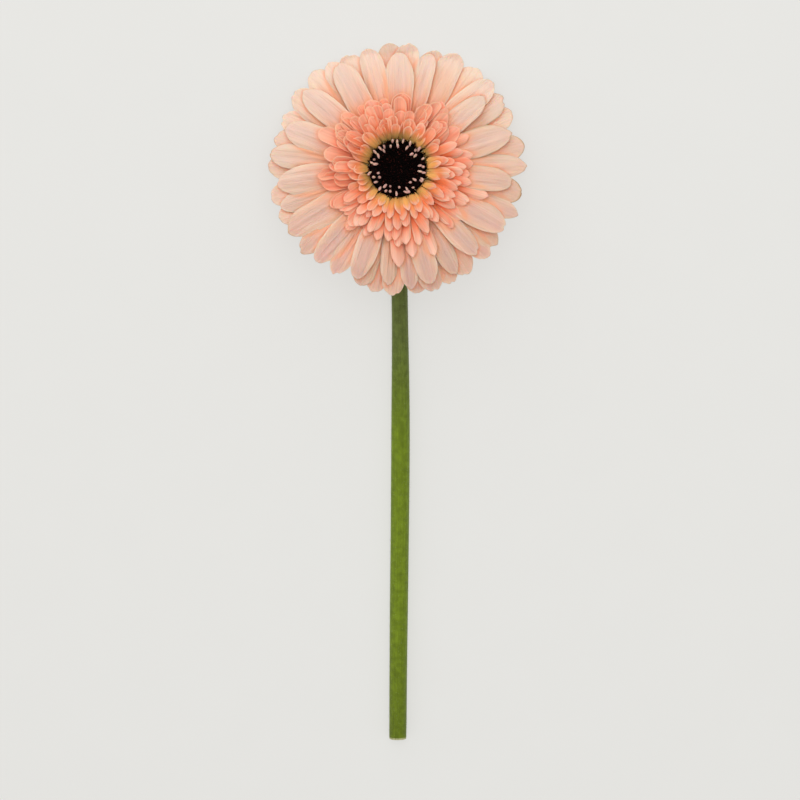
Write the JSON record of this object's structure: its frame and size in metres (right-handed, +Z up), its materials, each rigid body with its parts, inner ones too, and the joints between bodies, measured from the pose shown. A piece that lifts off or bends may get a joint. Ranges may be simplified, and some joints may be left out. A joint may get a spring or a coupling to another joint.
{
  "type": "cut gerbera",
  "caption": "Cut gerbera flower with a broad head of overlapping strap-shaped florets round a dark eye, on a bare round stem with a bent neck, lying with its face up.",
  "frame": {"origin": "on the surface that the flower lies on, under the middle of its box", "axes": "+Y from the cut end of the stem towards the head, +Z up from the surface, +X to the right of the head as seen from above with the stem pointing down"},
  "size_m": [0.1058, 0.3224, 0.0502],
  "materials": {
    "stem_green": "satin",
    "bract_green": "matte",
    "disc_maroon": "matte",
    "ray_peach": "matte",
    "trans_coral": "matte"
  },
  "bodies": {
    "root": {"stem": "stem_green", "involucre": "bract_green", "disc_florets": "disc_maroon", "ray_floret_01": "ray_peach", "ray_floret_02": "ray_peach", "ray_floret_03": "ray_peach", "ray_floret_04": "ray_peach", "ray_floret_05": "ray_peach", "ray_floret_06": "ray_peach", "ray_floret_07": "ray_peach", "ray_floret_08": "ray_peach", "ray_floret_09": "ray_peach", "ray_floret_10": "ray_peach", "ray_floret_11": "ray_peach", "ray_floret_12": "ray_peach", "ray_floret_13": "ray_peach", "ray_floret_14": "ray_peach", "ray_floret_15": "ray_peach", "ray_floret_16": "ray_peach", "ray_floret_17": "ray_peach", "ray_floret_18": "ray_peach", "ray_floret_19": "ray_peach", "ray_floret_20": "ray_peach", "ray_floret_21": "ray_peach", "ray_floret_22": "ray_peach", "ray_floret_23": "ray_peach", "ray_floret_24": "ray_peach", "ray_floret_25": "ray_peach", "ray_floret_26": "ray_peach", "ray_floret_27": "ray_peach", "ray_floret_28": "ray_peach", "ray_floret_29": "ray_peach", "ray_floret_30": "ray_peach", "ray_floret_31": "ray_peach", "ray_floret_32": "ray_peach", "ray_floret_33": "ray_peach", "ray_floret_34": "ray_peach", "ray_floret_35": "ray_peach", "ray_floret_36": "ray_peach", "ray_floret_37": "ray_peach", "ray_floret_38": "ray_peach", "ray_floret_39": "ray_peach", "ray_floret_40": "ray_peach", "ray_floret_41": "ray_peach", "ray_floret_42": "ray_peach", "ray_floret_43": "ray_peach", "ray_floret_44": "ray_peach", "ray_floret_45": "ray_peach", "ray_floret_46": "ray_peach", "ray_floret_47": "ray_peach", "ray_floret_48": "ray_peach", "ray_floret_49": "ray_peach", "ray_floret_50": "ray_peach", "ray_floret_51": "ray_peach", "ray_floret_52": "ray_peach", "ray_floret_53": "ray_peach", "trans_florets_row_1": "trans_coral", "trans_florets_row_2": "trans_coral", "trans_florets_row_3": "trans_coral", "trans_florets_row_4": "trans_coral"}
  },
  "joints": []
}
